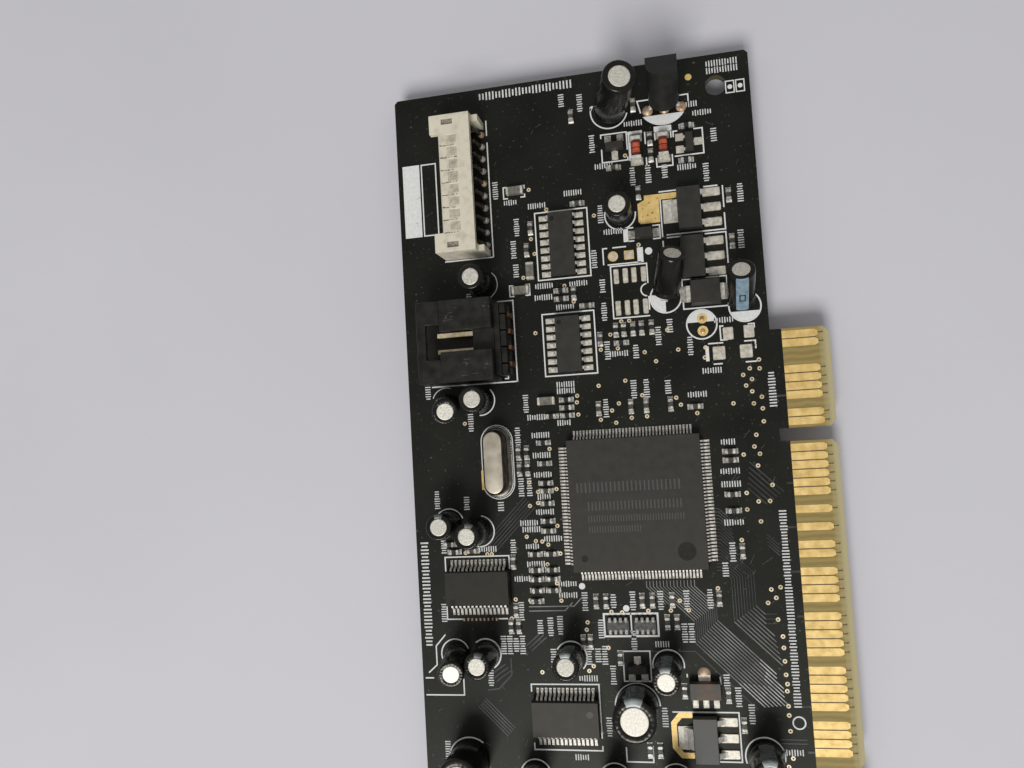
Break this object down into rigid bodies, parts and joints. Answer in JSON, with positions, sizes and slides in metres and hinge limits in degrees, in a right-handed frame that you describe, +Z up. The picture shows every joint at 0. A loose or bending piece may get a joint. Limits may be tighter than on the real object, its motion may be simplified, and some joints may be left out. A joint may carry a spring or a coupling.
{
  "type": "pci sound card",
  "caption": "Short expansion card with a keyed edge connector, audio chips, round capacitors, shrouded headers, plug jacks and a folded steel bracket.",
  "frame": {"origin": "contact 1 of the edge connector, on the tab's leading edge and the component face of the board", "axes": "+X out of the edge connector into the slot, +Y along the card away from the bracket, +Z up from the component face"},
  "size_m": [0.12, 0.1689, 0.0184],
  "materials": {
    "solder_mask": "satin black solder mask on glass-fibre laminate",
    "gold_plate": "thin gold plate, satin",
    "tin_plate": "tin plate and solder",
    "mould_compound": "matt epoxy mould compound",
    "brown_compound": "matt epoxy mould compound",
    "red_glass": "tinted glass",
    "capacitor_sleeve": "shrunk black sleeve over an aluminium can",
    "can_steel": "plated steel can",
    "white_nylon": "moulded nylon, off-white",
    "black_nylon": "moulded nylon, black",
    "resistor_coat": "glazed resistor on ceramic",
    "ferrite": "fired ferrite",
    "pink_plastic": "moulded",
    "blue_plastic": "moulded",
    "green_plastic": "moulded",
    "bracket_steel": "zinc-plated sheet"
  },
  "bodies": {
    "root": {"amplifier_body": "mould_compound", "amplifier_leads": "tin_plate", "audio_header": "black_nylon", "audio_header_pins": "gold_plate", "audio_header_tails": "gold_plate", "board": "solder_mask", "bracket": "bracket_steel", "codec_body": "mould_compound", "codec_leads": "tin_plate", "component_contacts": "gold_plate", "converter_body": "mould_compound", "converter_leads": "tin_plate", "crystal": "can_steel", "diode_caps": "tin_plate", "driver_body": "brown_compound", "driver_leads": "tin_plate", "ferrite_beads": "ferrite", "glass_diodes": "red_glass", "jack_1": "pink_plastic", "jack_2": "blue_plastic", "jack_3": "green_plastic", "large_capacitors": "capacitor_sleeve", "lower_regulator_body": "mould_compound", "lower_regulator_leads": "tin_plate", "middle_regulator_body": "mould_compound", "middle_regulator_leads": "tin_plate", "panel_header": "white_nylon", "panel_header_pins": "gold_plate", "panel_header_tails": "tin_plate", "power_diode_body": "mould_compound", "power_diode_terminals": "tin_plate", "processor_body": "mould_compound", "processor_leads": "tin_plate", "resistor_arrays": "resistor_coat", "round_transistor": "mould_compound", "round_transistor_wires": "tin_plate", "signal_diode_body": "mould_compound", "signal_diode_terminals": "tin_plate", "small_capacitors": "capacitor_sleeve", "solder_contacts": "gold_plate", "switch_body": "mould_compound", "switch_leads": "tin_plate", "transistor_bodies": "mould_compound", "transistor_leads": "tin_plate", "upper_regulator_body": "mould_compound", "upper_regulator_leads": "tin_plate"}
  },
  "joints": []
}
